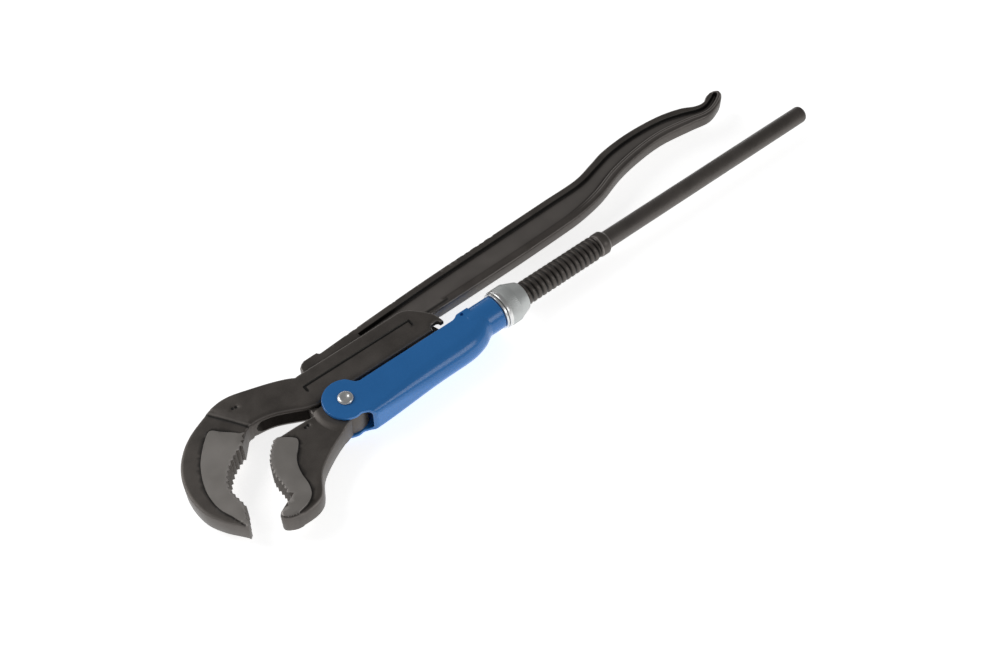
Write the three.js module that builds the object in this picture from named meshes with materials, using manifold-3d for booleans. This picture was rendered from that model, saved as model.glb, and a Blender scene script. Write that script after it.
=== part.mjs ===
// Corner-pattern pipe wrench, two-inch size: a forged lower jaw with an I-beam handle, a forked hook jaw on
// a threaded rod handle, and a sheet steel housing that hinges on a rivet and carries the adjusting nut.
//
// Working frame while modelling, in millimetres: the pivot rivet is the Z axis, the rod handle lies along +X
// and the I-beam handle is on the +Y side. The middle plane of the tool is Z = 0. The last lines move the
// whole tool so that it lies on Z = 0 with its origin under the middle of its box.

import * as THREE from 'three';
import { mergeVertices } from 'three/addons/utils/BufferGeometryUtils.js';
import Module from 'manifold-3d';

const wasm = await Module();
wasm.setup();

// ---- driving dimensions -------------------------------------------------------------------------------

const GAP = 0.3; // clearance between neighbouring pieces
const OVER = 1; // how far a cutting solid runs past the face that it cuts
const REACH = 60; // half size of a cutting solid that goes right through the tool

const JAW_HALF = 7.5; // half thickness of both jaws
const PAD_HALF = 8.4; // half thickness over the ground jaw pads
const FORK_HALF = 8.8; // half thickness over the hook jaw's two plates and over the pivot boss
const SLOT_HALF = 5.3; // half width of the fork's slot
const BEAM_HALF = 5.0; // half width of the handle's flanges and of the tang in the slot
const WEB_HALF = 2.4; // half thickness of the handle's web
const FLANGE_DRAFT = 2.2; // how far the flange's inner wall slopes in towards the web

const CHEEK_OUT = 11.7; // half thickness over the housing's cheeks
const SHEET = 2.6; // housing sheet thickness
const NOSE_R = 15.5; // rounded nose of each cheek, centred on the rivet
const CHEEK_TOP = 6.0; // upper edge of the cheeks
const SPINE_Y = -20.5; // outer face of the housing's closed back
const SPINE_ROUND = 7; // outer radius where the cheeks turn into the back
const SPINE_START = 8; // the closed back starts here, behind the pivot
const SPINE_END = 92; // the back starts to rise into the tail here
const NOSE_END = 15; // the nose's round edge meets the straight upper edge here
const LIP_START = 94; // the upper edge steps up to a lip in front of the tail
const LIP_FULL = 98;
const LIP_HEIGHT = 2.4;
const WINDOW_EDGE = [[2.2, -15], [6.5, -17], [9.4, -20]]; // front edge of the closed back, behind the nose
const CHANNEL_END = 107; // the channel ends here and the round tail goes on
const TAIL_END = 124.7;
const TAIL_R = 12.2;
const TAIL_ROOT = 6; // how far the tail's wall runs forward into the channel
const TAIL_MOUTH_LOW = -12; // the channel's space reaches down to here in front of the tail

const BOSS_R = 14.5; // pivot boss
const SHOULDER_R = 18; // pivot boss on the side of the jaw
const BOSS_TOP = 7.2; // the boss is cut straight here, under the sliding plates
const SHOULDER_LOW = -7; // the shoulder is only on the jaw's side of the boss, above this line
const RIVET_R = 4.2;
const RIVET_HEAD_R = 5.3;
const RIVET_HEAD = 1.6; // height of a rivet head over the cheek
const RIVET_HEAD_FAR = 1.0; // flatter head on the back, over a washer
const WASHER_R = 7.5;
const WASHER = 0.8;
const BUSH_R = 6.8;

const PLATE_LOW = 10; // lower edge of the hook jaw's plates
const PLATE_HIGH = 36.6; // upper edge of the plates
const PLATE_END = 89; // rear end of the plates
const NOTCH_START = 79.5; // open notch under the plates' rear end, which clears the housing's tail
const NOTCH_HIGH = 14;
const ROOT_START = 58; // the block that joins the plates to the rod runs from here
const ROOT_END = 79;
const ROOT_LOW = -8.5;
const ROOT_INSET = 0.2; // the block stands back from the plates' faces
const ROOT_LAP = 2; // and laps over their lower edge
const SLOT_END = -48; // round front end of the slot
const PIN_X = 72; // coupling pin between the hook jaw and the rod
const PIN_R = 2.5;
const PIN_SINK = 0.4; // the pin's ends lie under the plates' faces

const SHANK_R = 5.8; // plain end of the rod, inside the hook jaw
const SHANK_START = 64;
const THREAD_START = 92.9;
const THREAD_R = 8.7;
const THREAD_ROOT_R = 7.2;
const THREAD_PITCH = 4.4;
const THREAD_TURNS = 28;
const THREAD_END = THREAD_START + THREAD_TURNS * THREAD_PITCH;
const CREST_SHARE = 0.28; // flat crest and one sloping flank, as parts of the pitch
const FLANK_SHARE = 0.22;
const RELIEF_R = 7.4; // short groove between the thread and the collar
const RELIEF_STEP = 0.6;
const COLLAR_START = 218.4;
const COLLAR_END = 224;
const ROD_START = 226.5;
const ROD_R = 6.6;
const ROD_END = 430;
const ROD_CHAMFER = 1.2;

const NUT_BORE_R = 9.0;
const NUT_NECK_R = 9.8; // neck that turns in the housing's tail
const NUT_NECK_START = 109.5;
const NUT_START = 127;
const NUT_BODY_END = 138;
const NUT_END = 147.5;
const NUT_R = 14.3;
const NUT_TIP_R = 10.6;
const KNURLS = 36;
const KNURL_DEPTH = 0.5;
const KNURL_EDGE = 0.2; // small bevel on the knurl's front edge
const KNURL_EDGE_LENGTH = 0.6;
const GROOVE_START = 112;
const GROOVE_END = 114.2;
const GROOVE_R = 9.35; // floor of the groove in the nut's neck
const SNAP_GROOVE_R = 11.2; // floor of the groove in the tail's bore
const RING_IN_R = 9.6;
const RING_OUT_R = 10.9;
const RING_PLAY = 0.2;
const RING_SPLIT = 1; // half width of the ring's gap
const THRUST_R = 13.4;

const SPRING_LINE = [[22, -16.4], [40, -13], [56, -9.5], [70, -9.5], [84, -13.4], [90, -15.4]];
const SPRING_THICK = 0.8;
const SPRING_HALF = 4.5;

const SEGMENTS = 40; // facets round a cylinder
const RIVET_SEGMENTS = 32;
const PIN_SEGMENTS = 24;
const ROD_SEGMENTS = 20;

// ---- geometry helpers ---------------------------------------------------------------------------------

function toSolid(geometry) {
  const bare = geometry.index ? geometry.toNonIndexed() : geometry.clone();
  bare.deleteAttribute('normal');
  bare.deleteAttribute('uv');
  const merged = mergeVertices(bare, 1e-4);
  return new wasm.Manifold(new wasm.Mesh({
    numProp: 3,
    vertProperties: new Float32Array(merged.attributes.position.array),
    triVerts: new Uint32Array(merged.index.array),
  }));
}

function toGeometry(solid) {
  const mesh = solid.getMesh();
  const geometry = new THREE.BufferGeometry();
  const positions = new Float32Array(mesh.vertProperties);
  geometry.setAttribute('position', new THREE.BufferAttribute(positions, 3));
  geometry.setIndex(new THREE.BufferAttribute(new Uint32Array(mesh.triVerts), 1));
  return geometry;
}

// A flat outline made solid from z = low to z = high.
function plate(outline, low, high) {
  const geometry = new THREE.ExtrudeGeometry(new THREE.Shape(outline), {
    depth: high - low, bevelEnabled: false, curveSegments: 1, steps: 1,
  });
  geometry.translate(0, 0, low);
  return toSolid(geometry);
}

function box(x0, x1, y0, y1, z0, z1) {
  const geometry = new THREE.BoxGeometry(x1 - x0, y1 - y0, z1 - z0);
  geometry.translate((x0 + x1) / 2, (y0 + y1) / 2, (z0 + z1) / 2);
  return toSolid(geometry);
}

// A cylinder along Z, centred on (x, y).
function disc(radius, low, high, x = 0, y = 0, segments = SEGMENTS) {
  const geometry = new THREE.CylinderGeometry(radius, radius, high - low, segments);
  geometry.rotateX(Math.PI / 2);
  geometry.translate(x, y, (low + high) / 2);
  return toSolid(geometry);
}

// A turned shape about the rod axis. The profile is a list of [x, radius].
function turned(profile, segments = SEGMENTS) {
  const points = profile.map(([x, radius]) => new THREE.Vector2(radius, x));
  const geometry = new THREE.LatheGeometry(points, segments);
  geometry.rotateZ(-Math.PI / 2);
  const solid = toSolid(geometry);
  return solid.volume() > 0 ? solid : toSolid(flipped(geometry));
}

function flipped(geometry) {
  const copy = geometry.toNonIndexed();
  const position = copy.attributes.position;
  for (let corner = 0; corner < position.count; corner += 3) {
    const first = new THREE.Vector3().fromBufferAttribute(position, corner);
    const last = new THREE.Vector3().fromBufferAttribute(position, corner + 2);
    position.setXYZ(corner, last.x, last.y, last.z);
    position.setXYZ(corner + 2, first.x, first.y, first.z);
  }
  return copy;
}

// A closed ring profile about the rod axis: a tube from x0 to x1.
function ring(inner, outer, x0, x1, segments = SEGMENTS) {
  return turned([[x0, inner], [x0, outer], [x1, outer], [x1, inner], [x0, inner]], segments);
}

const at = (list) => list.map(([x, y]) => new THREE.Vector2(x, y));

// A smooth stretch through a few points.
function curve(list, steps) {
  return new THREE.SplineCurve(at(list)).getPoints(steps);
}

function arc(x, y, radius, fromDegrees, toDegrees, steps) {
  const points = [];
  for (let step = 0; step <= steps; step += 1) {
    const angle = THREE.MathUtils.degToRad(fromDegrees + ((toDegrees - fromDegrees) * step) / steps);
    points.push(new THREE.Vector2(x + radius * Math.cos(angle), y + radius * Math.sin(angle)));
  }
  return points;
}

// Saw teeth cut into a smooth edge: the crests lie on the edge and the roots lie behind it, on the side
// given by the sign of depth (positive is to the left of the direction of travel).
function teeth(list, count, depth) {
  const edge = new THREE.SplineCurve(at(list));
  const points = [];
  for (let tooth = 0; tooth < count; tooth += 1) {
    points.push(edge.getPointAt(tooth / count));
    const root = (tooth + 0.75) / count;
    const direction = edge.getTangentAt(root);
    const normal = new THREE.Vector2(-direction.y, direction.x).multiplyScalar(depth);
    points.push(edge.getPointAt(root).add(normal));
  }
  points.push(edge.getPointAt(1));
  return points;
}

// ---- lower jaw and I-beam handle ----------------------------------------------------------------------

const HANDLE_TOP = [[11, 45.2], [60, 48.4], [108, 50.9], [173, 53], [215, 54.4], [246, 55.4],
  [266, 60.2], [281, 64.3], [302, 66.7], [322, 66.8], [342, 65], [359, 60.7], [370, 55.2], [378, 54.2],
  [386, 57.8], [390.5, 58.6]];
const HANDLE_TIP = [[390.5, 58.6], [396, 58.4], [400.2, 55.6], [400.4, 51.5]];
const HANDLE_LOW = [[400.4, 51.5], [394, 46], [385, 42.2], [372, 40], [355, 42.9], [328, 45.9],
  [304, 44.4], [279, 39.8], [252, 31.2], [228, 26.9], [207, 25.6], [168, 24.3], [131, 23.7],
  [105, 23.4], [60, 23], [34, 22], [20, 18.6], [12, 12], [8, 5]];
const TANG_FRONT = [[-22.5, 4.6], [-20, 14], [-14, 29], [-7, 39.5], [-6.2, 43.2], [-3.7, 45.4],
  [-1, 46.6], [9.4, 46.8]];

function handleOutline() {
  return [...at(TANG_FRONT), ...curve(HANDLE_TOP, 44), ...curve(HANDLE_TIP, 8).slice(1),
    ...curve(HANDLE_LOW, 52).slice(1), new THREE.Vector2(0, 0)].reverse();
}

// The pocket on each face of the handle that leaves a web between the two flanges.
const POCKET_TOP = [[40, 42.2], [108, 45.8], [173, 47.9], [215, 49.2], [247, 50.4], [268, 55.4],
  [284, 59.4], [303, 61.6], [322, 61.7], [341, 59.8], [357, 55.6], [368, 50.8]];
const POCKET_HEEL = [[106, 27], [40, 26]];
const POCKET_LOW = [[368, 48.4], [355, 49.6], [329, 52.4], [302, 50.6], [275, 45.4], [250, 37.2],
  [227, 32.7], [206, 31.2], [168, 30], [131, 29.4], [106, 29.1]];

function pocketOutline(inset) {
  const top = curve(POCKET_TOP, 26).map((p) => new THREE.Vector2(p.x, p.y - inset));
  const low = curve(POCKET_LOW, 22).concat(at(POCKET_HEEL));
  return [...top, ...low.map((p) => new THREE.Vector2(p.x, p.y + inset))].reverse();
}

const LOWER_TEETH = [[-50.2, 5.3], [-55.6, 0.9], [-60.6, -5], [-63.6, -10.6], [-65.3, -16.8],
  [-65.4, -22.8], [-65.6, -28], [-66.6, -33]];
const LOWER_TIP = [[-67.6, -36.2], [-71.4, -37.4], [-78, -40.6]];
const LOWER_HEEL = [[-78, -40.6], [-80, -43], [-79.2, -46.3], [-73.6, -49.6], [-66, -50.6],
  [-58, -50.1], [-52.3, -47.7], [-48.6, -43.8], [-44.6, -37.4], [-40.2, -31.8], [-32.2, -26.3],
  [-22.4, -21], [-13.5, -17.2], [-6, -14.2]];

function lowerJawOutline() {
  return [...at([[-36, 5.3]]), ...teeth(LOWER_TEETH, 13, -1), ...at(LOWER_TIP).slice(0, -1),
    ...curve(LOWER_HEEL, 30), ...at([[0, 0], [-14, 4.6]])];
}

// The ground pad beside the teeth. It is drawn past the teeth, so that its edge there is the jaw's own.
const LOWER_REGION = [[-100, -60], [10, -60], [10, 20], [-100, 20]]; // all of the jaw's flat face
const LOWER_PAD = [[-47.5, 4], [-42, -0.6], [-40.2, -4.4], [-43.4, -9.4], [-48, -14.4], [-51, -20],
  [-52.8, -27], [-53.6, -35.4], [-56.4, -42.3], [-62, -46.4], [-69.6, -48.2]];

function lowerPadOutline() {
  return [...curve(LOWER_PAD, 16), ...at([[-72, -60], [-95, -60], [-95, 12], [-52, 12]])].reverse();
}

// Cuts both faces of a thick jaw down to the height of its body, all round the pad.
function sunkenFace(region, padOutline) {
  let cut = null;
  for (const side of [-1, 1]) {
    const low = side > 0 ? JAW_HALF : -FORK_HALF - OVER;
    const high = low + FORK_HALF + OVER - JAW_HALF;
    const face = plate(region, low, high).subtract(plate(padOutline, low - OVER, high + OVER));
    cut = cut ? cut.add(face) : face;
  }
  return cut;
}

// A disc as thick as the boss, kept only between two x positions and below the plates.
function bossPart(radius, x0, x1) {
  return disc(radius, -FORK_HALF, FORK_HALF)
    .intersect(box(x0, x1, -radius - OVER, BOSS_TOP, -FORK_HALF - OVER, FORK_HALF + OVER));
}

function handleForging() {
  const tang = plate(handleOutline(), -BEAM_HALF, BEAM_HALF);
  const jaw = plate(lowerJawOutline(), -PAD_HALF, PAD_HALF)
    .subtract(sunkenFace(at(LOWER_REGION), lowerPadOutline()));
  const shoulder = bossPart(SHOULDER_R, -SHOULDER_R - OVER, SHOULDER_LOW);
  const boss = bossPart(BOSS_R, -BOSS_R - OVER, BOSS_R + OVER);
  let solid = tang.add(jaw).add(boss.add(shoulder));
  for (const side of [-1, 1]) {
    const outer = side * (BEAM_HALF + OVER);
    const middle = side * (BEAM_HALF + WEB_HALF) / 2;
    const inner = side * WEB_HALF;
    const wide = plate(pocketOutline(0), Math.min(outer, middle), Math.max(outer, middle));
    const deep = plate(pocketOutline(FLANGE_DRAFT / 2), Math.min(outer, inner), Math.max(outer, inner));
    solid = solid.subtract(wide).subtract(deep);
  }
  return solid.subtract(disc(BUSH_R + GAP, -FORK_HALF - OVER, FORK_HALF + OVER));
}

// ---- hook jaw -----------------------------------------------------------------------------------------

const HOOK_CROWN = [[-14, PLATE_HIGH], [-19.5, 39.8], [-29, 43.8], [-41.6, 48], [-53, 51.4], [-60, 52.3],
  [-66, 51.8], [-73.4, 50], [-82, 46.6], [-91, 42.2], [-99.6, 35.8], [-107.5, 26.6], [-113, 15],
  [-115.4, 2], [-114.3, -11.6], [-109.2, -23], [-103.4, -31.4], [-98.6, -38]];
const HOOK_TIP = [[-96.2, -33.8], [-93.8, -28.4]];
const HOOK_TEETH = [[-91.8, -23.6], [-92.4, -15.4], [-92.6, -9.2], [-91.6, -4.2], [-89.2, -0.4],
  [-85.8, 3.8], [-81.5, 7.8], [-77, 10.6], [-72.9, 12.8], [-69.6, 14]];
const THROAT = [[-61, 22.8], [-57, 24.1], [-49, 23.6], [-42.2, 22.1], [-36, 19.6], [-28.9, 15.9],
  [-22, 12.4], [-15, PLATE_LOW]];
const PLATE_CORNER = [[PLATE_END, NOTCH_HIGH], [88.6, 16], [87, 21.2], [84, 25.6], [80.6, 29.8],
  [76.8, 33.6], [72.6, 36], [69, PLATE_HIGH]];
const NOTCH = [[NOTCH_START, PLATE_LOW], [NOTCH_START, NOTCH_HIGH - 2], [NOTCH_START + 0.6, NOTCH_HIGH - 0.6],
  [NOTCH_START + 2, NOTCH_HIGH]]; // rounded front end of the notch
const HOOK_SPLIT = -73.4; // the thick plates end here and the hook goes on thinner

const HOOK_REGION = [[-130, -60], [-60.6, -60], [-60.6, 20], [-67.2, 25], [HOOK_SPLIT, 31.4],
  [HOOK_SPLIT, 70], [-130, 70]]; // everything in front of the thick plates

const HOOK_PAD = [[-67.2, 25], [-74, 31.6], [-79.6, 36.8], [-87, 31.4], [-94.2, 23.4], [-98.6, 17],
  [-103.2, 6.8], [-105.8, -4], [-105.6, -15.6], [-102, -26.6], [-98.2, -40]];

function hookOutline() {
  return [...curve(HOOK_CROWN, 46), ...at(HOOK_TIP), ...teeth(HOOK_TEETH, 14, 1),
    ...curve(THROAT, 18), ...at(NOTCH), ...curve(PLATE_CORNER, 14)];
}

// The ground pad beside the teeth, drawn past the teeth.
function hookPadOutline() {
  return [...curve(HOOK_PAD, 26), ...at([[-80, -45], [-60.6, 20]])];
}

function hookJaw() {
  const region = at(HOOK_REGION);
  const thinned = plate(region, PAD_HALF, FORK_HALF + OVER)
    .add(plate(region, -FORK_HALF - OVER, -PAD_HALF));
  const body = plate(hookOutline(), -FORK_HALF, FORK_HALF)
    .subtract(sunkenFace(region, hookPadOutline()))
    .subtract(thinned);
  const slot = box(SLOT_END, PLATE_END + OVER, -REACH, REACH, -SLOT_HALF, SLOT_HALF).add(slotEnd());
  const half = FORK_HALF - ROOT_INSET;
  const root = box(ROOT_START, ROOT_END, ROOT_LOW, PLATE_LOW + ROOT_LAP, -half, half);
  return body.subtract(slot).add(root)
    .subtract(rod(SHANK_R + GAP, SHANK_START - GAP, ROOT_END + OVER))
    .subtract(pinHole());
}

function pinHole() {
  return disc(PIN_R + GAP, -REACH, REACH, PIN_X, 0, PIN_SEGMENTS);
}

// The slot's front end is round across its width, as a cutter leaves it.
function slotEnd() {
  const geometry = new THREE.CylinderGeometry(SLOT_HALF, SLOT_HALF, 2 * REACH, PIN_SEGMENTS);
  geometry.translate(SLOT_END, 0, 0);
  return toSolid(geometry);
}

// A solid cylinder along the rod axis.
function rod(radius, x0, x1) {
  return turned([[x0, 0], [x0, radius], [x1, radius], [x1, 0]]);
}

function couplingPin() {
  return disc(PIN_R, -FORK_HALF + PIN_SINK, FORK_HALF - PIN_SINK, PIN_X, 0, PIN_SEGMENTS);
}

// ---- threaded rod handle ------------------------------------------------------------------------------

function threadedRod() {
  const profile = [[SHANK_START, 0], [SHANK_START, SHANK_R], [ROOT_END + GAP, SHANK_R],
    [ROOT_END + GAP, THREAD_ROOT_R]];
  const crest = THREAD_PITCH * CREST_SHARE;
  const flank = THREAD_PITCH * FLANK_SHARE;
  for (let turn = 0; turn < THREAD_TURNS; turn += 1) {
    const x = THREAD_START + turn * THREAD_PITCH;
    profile.push([x, THREAD_ROOT_R], [x + flank, THREAD_R], [x + flank + crest, THREAD_R]);
    profile.push([x + 2 * flank + crest, THREAD_ROOT_R]);
  }
  profile.push([THREAD_END, THREAD_ROOT_R], [THREAD_END + RELIEF_STEP, RELIEF_R]);
  profile.push([COLLAR_START - RELIEF_STEP, RELIEF_R]);
  profile.push([COLLAR_START, THREAD_R], [COLLAR_END, THREAD_R], [ROD_START, ROD_R]);
  profile.push([ROD_END - ROD_CHAMFER, ROD_R], [ROD_END, ROD_R - ROD_CHAMFER], [ROD_END, 0]);
  return turned(profile, ROD_SEGMENTS).subtract(pinHole());
}

// ---- housing ------------------------------------------------------------------------------------------

// Side view of the bent sheet: round nose, straight upper edge with a lip at its end, closed back.
function cheekOutline() {
  const rise = curve([[SPINE_END, SPINE_Y], [100, -19.1], [105.6, -14.9], [CHANNEL_END, -TAIL_R + 1]], 8);
  return [...arc(0, 0, NOSE_R, 46, 264, 26), ...at(WINDOW_EDGE), new THREE.Vector2(SPINE_START + 2, SPINE_Y),
    ...rise, ...at([[CHANNEL_END, CHEEK_TOP + LIP_HEIGHT], [LIP_FULL, CHEEK_TOP + LIP_HEIGHT],
      [LIP_START, CHEEK_TOP], [NOSE_END, CHEEK_TOP]])];
}

// A bar along the rod axis whose section is open above and rounded below.
function channelBar(half, back, round, x0, x1) {
  const section = [...at([[REACH, half]]), ...arc(back + round, half - round, round, 90, 180, 6),
    ...arc(back + round, -half + round, round, 180, 270, 6), ...at([[REACH, -half]])];
  const shape = new THREE.Shape(section.map((p) => new THREE.Vector2(p.y, p.x)));
  const geometry = new THREE.ExtrudeGeometry(shape, {
    depth: x1 - x0, bevelEnabled: false, curveSegments: 1, steps: 1,
  });
  geometry.rotateY(Math.PI / 2);
  geometry.translate(x0, 0, 0);
  const solid = toSolid(geometry);
  return solid.volume() > 0 ? solid : toSolid(flipped(geometry));
}

function channel() {
  const inside = CHEEK_OUT - SHEET;
  const outer = channelBar(CHEEK_OUT, SPINE_Y, SPINE_ROUND, -REACH, CHANNEL_END + OVER);
  const inner = channelBar(inside, SPINE_Y + SHEET, SPINE_ROUND - SHEET, -REACH - OVER, CHANNEL_END - SHEET);
  return outer.subtract(inner).intersect(plate(cheekOutline(), -CHEEK_OUT - OVER, CHEEK_OUT + OVER));
}

function housing() {
  const inside = CHEEK_OUT - SHEET;
  const end = CHANNEL_END - SHEET;
  const mouth = box(ROOT_START, end, TAIL_MOUTH_LOW, REACH, -inside, inside);
  return channel().add(rod(TAIL_R, CHANNEL_END - TAIL_ROOT, TAIL_END))
    .subtract(rod(NUT_NECK_R + GAP, end - OVER, TAIL_END + OVER))
    .subtract(mouth)
    .subtract(rod(SNAP_GROOVE_R, GROOVE_START - GAP, GROOVE_END + GAP))
    .subtract(disc(RIVET_R + GAP, -REACH, REACH, 0, 0, RIVET_SEGMENTS));
}

function pivotRivet() {
  const low = CHEEK_OUT + GAP;
  const shank = disc(RIVET_R, -low - WASHER - GAP - RIVET_HEAD_FAR, low + RIVET_HEAD, 0, 0, RIVET_SEGMENTS);
  const far = low + WASHER + GAP;
  const heads = disc(RIVET_HEAD_R, low, low + RIVET_HEAD, 0, 0, RIVET_SEGMENTS)
    .add(disc(RIVET_HEAD_R, -far - RIVET_HEAD_FAR, -far, 0, 0, RIVET_SEGMENTS));
  return shank.add(heads);
}

function rivetWasher() {
  const low = CHEEK_OUT + GAP;
  return disc(WASHER_R, -low - WASHER, -low, 0, 0, RIVET_SEGMENTS)
    .subtract(disc(RIVET_R + GAP, -low - WASHER - OVER, 0, 0, 0, RIVET_SEGMENTS));
}

function pivotBush() {
  const half = CHEEK_OUT - SHEET - GAP;
  return disc(BUSH_R, -half, half, 0, 0, RIVET_SEGMENTS)
    .subtract(disc(RIVET_R + GAP, -half - OVER, half + OVER, 0, 0, RIVET_SEGMENTS));
}

// ---- adjusting nut and its ring -----------------------------------------------------------------------

function knurledBody() {
  const rim = [];
  for (let step = 0; step < KNURLS * 2; step += 1) {
    const angle = (step / (KNURLS * 2)) * Math.PI * 2;
    const radius = step % 2 ? NUT_R - KNURL_DEPTH : NUT_R;
    rim.push(new THREE.Vector2(radius * Math.cos(angle), radius * Math.sin(angle)));
  }
  const geometry = new THREE.ExtrudeGeometry(new THREE.Shape(rim), {
    depth: NUT_END - NUT_START, bevelEnabled: false, curveSegments: 1, steps: 1,
  });
  geometry.rotateY(Math.PI / 2);
  geometry.translate(NUT_START, 0, 0);
  const cone = turned([[NUT_START, 0], [NUT_START, NUT_R - KNURL_EDGE],
    [NUT_START + KNURL_EDGE_LENGTH, NUT_R + KNURL_EDGE], [NUT_BODY_END, NUT_R + KNURL_EDGE],
    [NUT_END, NUT_TIP_R], [NUT_END, 0]]);
  return toSolid(geometry).intersect(cone);
}

function adjustingNut() {
  const neck = turned([[NUT_NECK_START, 0], [NUT_NECK_START, NUT_NECK_R], [GROOVE_START, NUT_NECK_R],
    [GROOVE_START, GROOVE_R], [GROOVE_END, GROOVE_R], [GROOVE_END, NUT_NECK_R],
    [NUT_START + OVER, NUT_NECK_R], [NUT_START + OVER, 0]]);
  return knurledBody().add(neck).subtract(rod(NUT_BORE_R, NUT_NECK_START - OVER, NUT_END + OVER));
}

function nutRing() {
  const split = box(GROOVE_START, GROOVE_END, 0, REACH, -RING_SPLIT, RING_SPLIT);
  return ring(RING_IN_R, RING_OUT_R, GROOVE_START + RING_PLAY, GROOVE_END - RING_PLAY).subtract(split);
}

function thrustWasher() {
  return ring(NUT_NECK_R + GAP, THRUST_R, TAIL_END + GAP, NUT_START - GAP);
}

// ---- leaf spring that steadies the hook jaw in the channel --------------------------------------------

function leafSpring() {
  const top = curve(SPRING_LINE, 20);
  const low = top.map((p) => new THREE.Vector2(p.x, p.y - SPRING_THICK)).reverse();
  return plate([...top, ...low], -SPRING_HALF, SPRING_HALF);
}

// ---- assembly -----------------------------------------------------------------------------------------

const FORGED = { color: 0x4d4944, roughness: 0.55, metalness: 0.75 };
const PAINTED = { color: 0x2a66a3, roughness: 0.32, metalness: 0.1 };
const PLATED = { color: 0xb4baba, roughness: 0.38, metalness: 0.9 };
const BRIGHT = { color: 0xc9c9c6, roughness: 0.25, metalness: 0.95 };
const BRONZE = { color: 0x9a7442, roughness: 0.45, metalness: 0.9 };
const SPRING_STEEL = { color: 0x33353a, roughness: 0.35, metalness: 0.9 };

const wrench = new THREE.Group();

function addPiece(name, solid, finish) {
  const geometry = toGeometry(solid);
  geometry.computeVertexNormals();
  const mesh = new THREE.Mesh(geometry, new THREE.MeshStandardMaterial(finish));
  mesh.name = name;
  wrench.add(mesh);
}

addPiece('handle_forging', handleForging(), FORGED);
addPiece('hook_jaw', hookJaw(), FORGED);
addPiece('threaded_rod', threadedRod(), FORGED);
addPiece('coupling_pin', couplingPin(), SPRING_STEEL);
addPiece('housing', housing(), PAINTED);
addPiece('leaf_spring', leafSpring(), SPRING_STEEL);
addPiece('pivot_rivet', pivotRivet(), BRIGHT);
addPiece('rivet_washer', rivetWasher(), BRIGHT);
addPiece('pivot_bush', pivotBush(), BRONZE);
addPiece('adjusting_nut', adjustingNut(), PLATED);
addPiece('nut_ring', nutRing(), SPRING_STEEL);
addPiece('thrust_washer', thrustWasher(), PLATED);

const bounds = new THREE.Box3().setFromObject(wrench);
const centre = bounds.getCenter(new THREE.Vector3());
wrench.position.set(-centre.x, -centre.y, -bounds.min.z);

export default wrench;
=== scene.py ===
"""A corner-pattern pipe wrench lying on a pale floor: two forged jaws, a threaded rod handle, a painted
sheet housing and a plated adjusting nut.

Shapes are given in millimetres about the pivot rivet: X along the rod handle, Y towards the I-beam handle,
Z up from the middle plane of the tool. place() turns them into the frame's metres.
"""

import math

import bmesh
import bpy
import numpy as np
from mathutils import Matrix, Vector
from mathutils.geometry import delaunay_2d_cdt
from mathutils.kdtree import KDTree


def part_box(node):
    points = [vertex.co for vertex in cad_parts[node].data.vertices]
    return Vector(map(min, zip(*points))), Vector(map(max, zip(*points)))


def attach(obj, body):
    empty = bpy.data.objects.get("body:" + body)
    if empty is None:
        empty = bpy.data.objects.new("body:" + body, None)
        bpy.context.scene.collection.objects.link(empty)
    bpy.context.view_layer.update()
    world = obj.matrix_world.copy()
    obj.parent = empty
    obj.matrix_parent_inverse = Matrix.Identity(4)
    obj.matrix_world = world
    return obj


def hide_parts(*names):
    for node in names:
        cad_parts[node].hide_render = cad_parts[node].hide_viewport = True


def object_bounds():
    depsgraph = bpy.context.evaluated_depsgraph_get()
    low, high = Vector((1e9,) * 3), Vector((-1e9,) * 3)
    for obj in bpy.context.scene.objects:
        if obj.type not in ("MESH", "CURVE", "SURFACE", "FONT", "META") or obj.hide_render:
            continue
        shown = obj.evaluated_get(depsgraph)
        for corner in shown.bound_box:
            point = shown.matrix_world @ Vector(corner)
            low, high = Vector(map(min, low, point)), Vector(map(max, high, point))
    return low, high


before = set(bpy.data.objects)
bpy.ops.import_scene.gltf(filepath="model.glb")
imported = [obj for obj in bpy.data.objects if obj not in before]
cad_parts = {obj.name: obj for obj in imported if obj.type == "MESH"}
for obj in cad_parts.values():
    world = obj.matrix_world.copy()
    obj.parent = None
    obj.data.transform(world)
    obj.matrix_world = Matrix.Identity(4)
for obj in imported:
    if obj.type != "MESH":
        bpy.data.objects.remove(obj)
CAD_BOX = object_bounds()

MM = 0.001

# ---- where the tool lies -------------------------------------------------------------------------------

RIVET_LOW, RIVET_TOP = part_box("pivot_rivet")
HOUSING_LOW, HOUSING_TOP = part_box("housing")
PIVOT = Vector((
    (RIVET_LOW.x + RIVET_TOP.x) / 2,
    (RIVET_LOW.y + RIVET_TOP.y) / 2,
    (HOUSING_LOW.z + HOUSING_TOP.z) / 2,
))

# ---- sizes in millimetres ------------------------------------------------------------------------------

JAW_HALF = 7.5
PAD_HALF = 8.4
FORK_HALF = 8.8
SLOT_HALF = 5.3
BEAM_HALF = 5.0
WEB_HALF = 2.4
BOSS_R = 14.5
SHOULDER_R = 18.0
FLARE_R = 22.5  # the jaw starts to thicken towards the shoulder here
BOSS_TOP = 7.2
BUSH_HOLE_R = 7.1
TOOTH_DEPTH = 1.4
LOWER_TOOTH_COUNT = 13
HOOK_TOOTH_COUNT = 16

PLATE_LOW = 10.0
PLATE_HIGH = 36.6
PLATE_END = 89.0
NOTCH_START = 79.5
NOTCH_HIGH = 14.0
LIP_LOW = 11.4  # the lip behind the notch stops here, 0.4 above the housing's tail at the plates' inner face
SLOT_END = -48.0
ROOT_START, ROOT_END, ROOT_HIGH = 58.0, 79.0, 12.0
ROOT_R = 8.4
ROOT_BRIDGE = 6.0

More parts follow.
